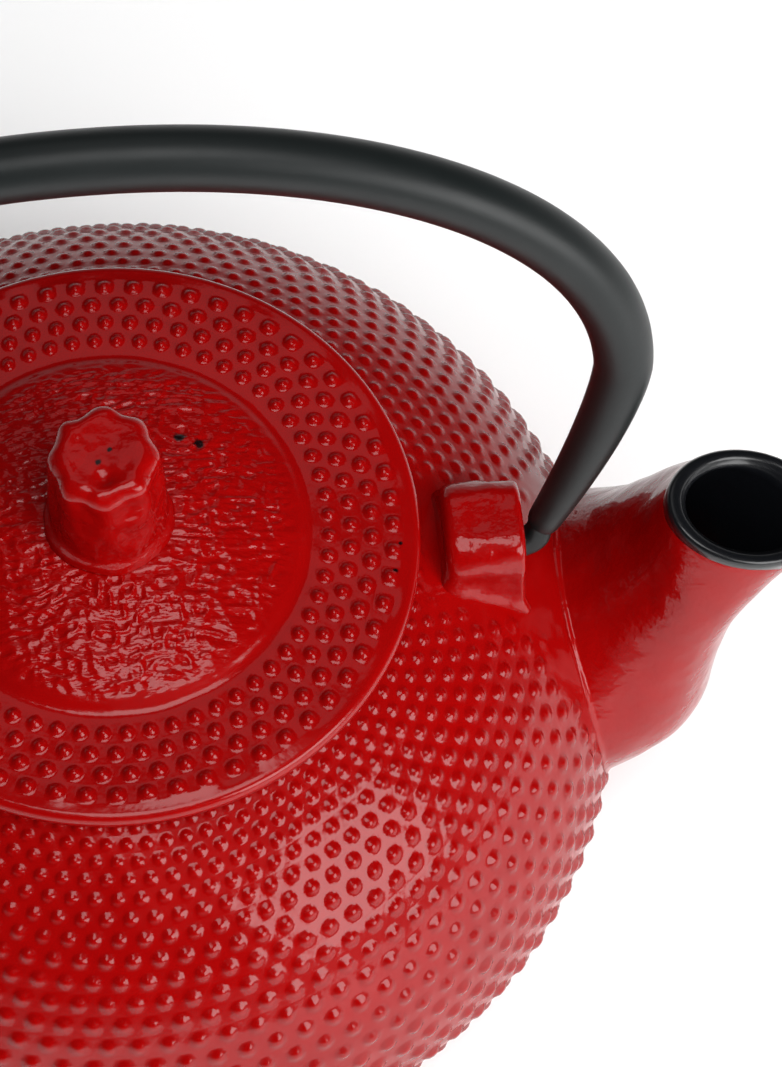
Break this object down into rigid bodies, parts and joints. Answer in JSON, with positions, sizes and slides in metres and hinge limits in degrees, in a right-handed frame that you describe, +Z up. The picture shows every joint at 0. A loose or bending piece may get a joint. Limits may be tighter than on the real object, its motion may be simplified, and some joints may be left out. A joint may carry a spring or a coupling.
{
  "type": "cast iron teapot",
  "caption": "Round enamelled iron teapot with a studded body and lid, short spout, fluted knob, strainer basket and swinging tube handle.",
  "frame": {"origin": "middle of the flat foot that the pot stands on", "axes": "+Z up, +X towards the spout, +Y towards the side the handle leans to at rest"},
  "size_m": [0.1855, 0.1514, 0.1544],
  "materials": {
    "pot_enamel": "glossy red enamel over cast iron, raised studs",
    "lid_enamel": "glossy red enamel over cast iron, studs and a wrinkled dome",
    "inner_enamel": "glossy black enamel lining",
    "handle_lacquer": "satin black lacquer on steel",
    "basket_steel": "pressed stainless steel and stainless mesh",
    "rivet_steel": "peened steel"
  },
  "bodies": {
    "pot": {"body_foot": "pot_enamel", "body_bowl": "pot_enamel", "body_shoulder": "pot_enamel", "body_collar": "pot_enamel", "body_lining": "inner_enamel", "spout": "pot_enamel", "spout_lining": "inner_enamel", "lug_front": "pot_enamel", "lug_rear": "pot_enamel"},
    "handle": {"handle_tube": "handle_lacquer", "handle_hook_front": "handle_lacquer", "handle_hook_rear": "handle_lacquer"},
    "basket": {"basket_rim": "basket_steel", "basket_wall": "basket_steel", "basket_crimp": "basket_steel", "basket_floor": "basket_steel"},
    "lid": {"lid": "lid_enamel", "knob": "lid_enamel", "knob_rivet": "rivet_steel"}
  },
  "joints": [
    {"name": "handle_swing", "type": "hinge", "parent": "pot", "child": "handle", "pos_m": [0, 0, 0.0762], "axis": [1, 0, 0], "range_deg": [-80, 120]},
    {"name": "basket_lift", "type": "slide", "parent": "pot", "child": "basket", "axis": [0, 0, 1], "range_m": [0, 0.045]},
    {"name": "lid_lift", "type": "slide", "parent": "basket", "child": "lid", "axis": [0, 0, 1], "range_m": [0, 0.045]}
  ]
}
